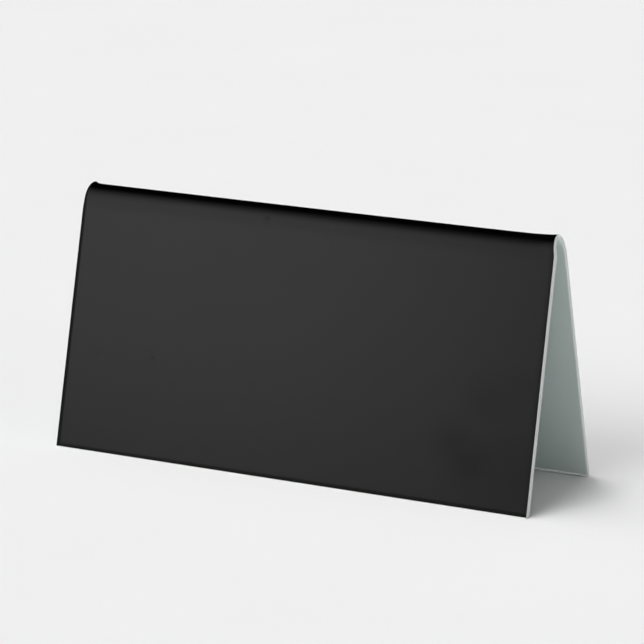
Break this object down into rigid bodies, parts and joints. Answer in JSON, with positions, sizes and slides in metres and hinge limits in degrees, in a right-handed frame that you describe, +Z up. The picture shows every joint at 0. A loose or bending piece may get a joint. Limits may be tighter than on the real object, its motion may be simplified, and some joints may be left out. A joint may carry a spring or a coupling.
{
  "type": "desk name plate",
  "caption": "Blank tent-fold desk name plate: a white acrylic sheet bent into an inverted V, faced on the outside with satin black vinyl film.",
  "frame": {"origin": "on the table, in the middle of the footprint, under the middle of the ridge", "axes": "+X along the ridge, to the right of someone who reads the front; +Y to the back; +Z up"},
  "size_m": [0.2032, 0.0614, 0.1016],
  "materials": {
    "white_acrylic": "opaque cool-white acrylic sheet, smooth faces and finely sawn edges",
    "clear_adhesive": "clear pressure-sensitive acrylic adhesive",
    "black_vinyl": "satin black cast vinyl film"
  },
  "bodies": {
    "root": {"tent_sheet": "white_acrylic", "film_adhesive": "clear_adhesive", "face_film": "black_vinyl"}
  },
  "joints": []
}
